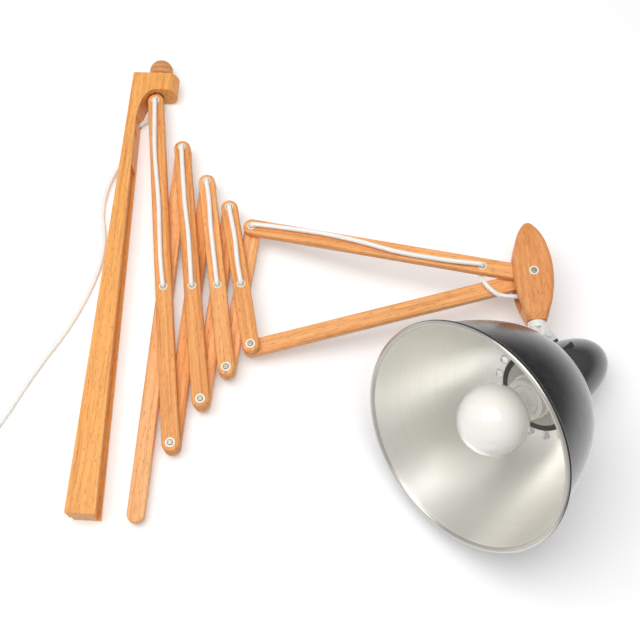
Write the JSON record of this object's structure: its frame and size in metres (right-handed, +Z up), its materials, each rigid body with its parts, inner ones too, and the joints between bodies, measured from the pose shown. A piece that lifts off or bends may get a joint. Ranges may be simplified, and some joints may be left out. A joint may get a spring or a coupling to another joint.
{
  "type": "accordion wall lamp",
  "caption": "Scissor-arm wall lamp: wooden lattice of riveted links on a swivelling wall bracket, reaching out to a tilting spun metal shade with a globe bulb.",
  "frame": {"origin": "centre of the wall bracket's back face, which lies on the wall", "axes": "+Z up along the bracket, +X away from the wall along the arm, +Y to the right of someone facing the wall"},
  "size_m": [0.6081, 0.1916, 0.573],
  "materials": {
    "teak": "oiled, satin",
    "white_cord": "smooth cable sheath",
    "white_plastic": "moulded, semi-gloss",
    "ivory_eyelet": "cream enamel",
    "steel": "plain turned metal",
    "black_lacquer": "spun sheet, satin black outside and bare inside",
    "black_plastic": "moulded",
    "opal_glass": "opal"
  },
  "bodies": {
    "bracket": {"wall_bracket": "teak", "cord_feed": "white_cord", "mains_cord": "white_cord", "cord_coil": "white_cord", "plug": "white_plastic"},
    "swivel": {"king_pin": "steel", "pin_knob": "teak", "swivel_hanger": "steel", "eyelet_t1": "ivory_eyelet"},
    "front_1": {"link_f1": "teak", "eyelet_m1": "ivory_eyelet", "rivet_d1": "steel", "rings_d1": "white_plastic", "cord_f1": "white_cord"},
    "back_0": {"link_b0": "teak", "cord_b0": "white_cord"},
    "front_2": {"link_f2": "teak", "eyelet_t2": "ivory_eyelet", "eyelet_m2": "ivory_eyelet", "rivet_d2": "steel", "rings_d2": "white_plastic", "cord_f2": "white_cord"},
    "back_1": {"link_b1": "teak", "cord_b1": "white_cord"},
    "front_3": {"link_f3": "teak", "eyelet_t3": "ivory_eyelet", "eyelet_m3": "ivory_eyelet", "rivet_d3": "steel", "rings_d3": "white_plastic", "cord_f3": "white_cord"},
    "back_2": {"link_b2": "teak", "cord_b2": "white_cord"},
    "front_4": {"link_f4": "teak", "eyelet_t4": "ivory_eyelet", "eyelet_m4": "ivory_eyelet", "rivet_d4": "steel", "rings_d4": "white_plastic", "cord_f4": "white_cord"},
    "back_3": {"link_b3": "teak", "cord_b3": "white_cord"},
    "front_5": {"link_f5": "teak", "eyelet_t5": "ivory_eyelet", "eyelet_end": "ivory_eyelet", "cord_f5": "white_cord", "cord_loop": "white_cord"},
    "back_4": {"link_b4": "teak"},
    "head": {"head_block": "teak", "head_pin": "steel", "rings_head": "white_plastic"},
    "collar": {"stem_collar": "white_plastic", "knuckle_screw": "steel"},
    "shade": {"shade": "black_lacquer", "shade_crown": "black_lacquer", "shade_cap": "black_plastic", "gallery_ring": "black_plastic", "lampholder": "white_plastic", "holder_ring": "white_plastic", "bulb_glass": "opal_glass", "bulb_base": "steel"},
    "switch": {"switch_knob": "black_plastic"}
  },
  "joints": [
    {"name": "swivel", "type": "hinge", "parent": "bracket", "child": "swivel", "pos_m": [0.02457, 0, 0.2125], "axis": [0, 0, 1], "range_deg": [-60, 70], "deforming": ["cord_feed"]},
    {"name": "fold", "type": "hinge", "parent": "swivel", "child": "front_1", "pos_m": [0.02457, 0, 0.193], "axis": [0, -1, 0], "range_deg": [-1, 30]},
    {"name": "cross_1", "type": "hinge", "parent": "front_1", "child": "back_0", "pos_m": [0.05704, 0, -0.00941], "axis": [0, -1, 0], "range_deg": [-62.5, 3]},
    {"name": "top_2", "type": "hinge", "parent": "back_0", "child": "front_2", "pos_m": [0.05706, 0, 0.13959], "axis": [0, -1, 0], "range_deg": [-3, 61.5]},
    {"name": "cross_2", "type": "hinge", "parent": "front_2", "child": "back_1", "pos_m": [0.0831, 0, -0.00734], "axis": [0, -1, 0], "range_deg": [-60.5, 3]},
    {"name": "top_3", "type": "hinge", "parent": "back_1", "child": "front_3", "pos_m": [0.08492, 0, 0.10265], "axis": [0, -1, 0], "range_deg": [-3, 59.5]},
    {"name": "cross_3", "type": "hinge", "parent": "front_3", "child": "back_2", "pos_m": [0.10624, 0, -0.00549], "axis": [0, -1, 0], "range_deg": [-58.3, 3]},
    {"name": "top_4", "type": "hinge", "parent": "back_2", "child": "front_4", "pos_m": [0.10913, 0, 0.07545], "axis": [0, -1, 0], "range_deg": [-3, 56.3]},
    {"name": "cross_4", "type": "hinge", "parent": "front_4", "child": "back_3", "pos_m": [0.12773, 0, -0.00378], "axis": [0, -1, 0], "range_deg": [-54.4, 3]},
    {"name": "top_5", "type": "hinge", "parent": "back_3", "child": "front_5", "pos_m": [0.13201, 0, 0.05606], "axis": [0, -1, 0], "range_deg": [-2, 29.6]},
    {"name": "low_4", "type": "hinge", "parent": "front_4", "child": "back_4", "pos_m": [0.14143, 0, -0.0622], "axis": [0, -1, 0], "range_deg": [-29.6, 2]},
    {"name": "head_tilt", "type": "hinge", "parent": "front_5", "child": "head", "pos_m": [0.39039, 0, 0.01713], "axis": [0, -1, 0], "range_deg": [-13, 13], "deforming": ["cord_loop"]},
    {"name": "stem_twist", "type": "hinge", "parent": "head", "child": "collar", "pos_m": [0.39039, 0, 0.01713], "axis": [-0.0794, 0, 0.9968], "range_deg": [-5, 95]},
    {"name": "shade_tilt", "type": "hinge", "parent": "collar", "child": "shade", "pos_m": [0.39505, 0, -0.04128], "axis": [0.5699, -0.8205, 0.0454], "range_deg": [-18, 42]},
    {"name": "switch_turn", "type": "hinge", "parent": "shade", "child": "switch", "pos_m": [0.45058, 0.02967, -0.0445], "axis": [0.6454, 0.4811, 0.5933], "range_deg": [0, 90]}
  ],
  "couplings": [
    {"joint": "cross_1", "follows": "fold", "ratio": -2},
    {"joint": "top_2", "follows": "fold", "ratio": 1.968},
    {"joint": "cross_2", "follows": "fold", "ratio": -1.936},
    {"joint": "top_3", "follows": "fold", "ratio": 1.8985},
    {"joint": "cross_3", "follows": "fold", "ratio": -1.861},
    {"joint": "top_4", "follows": "fold", "ratio": 1.7975},
    {"joint": "cross_4", "follows": "fold", "ratio": -1.734},
    {"joint": "top_5", "follows": "fold", "ratio": 0.9342},
    {"joint": "low_4", "follows": "fold", "ratio": -0.9342}
  ]
}
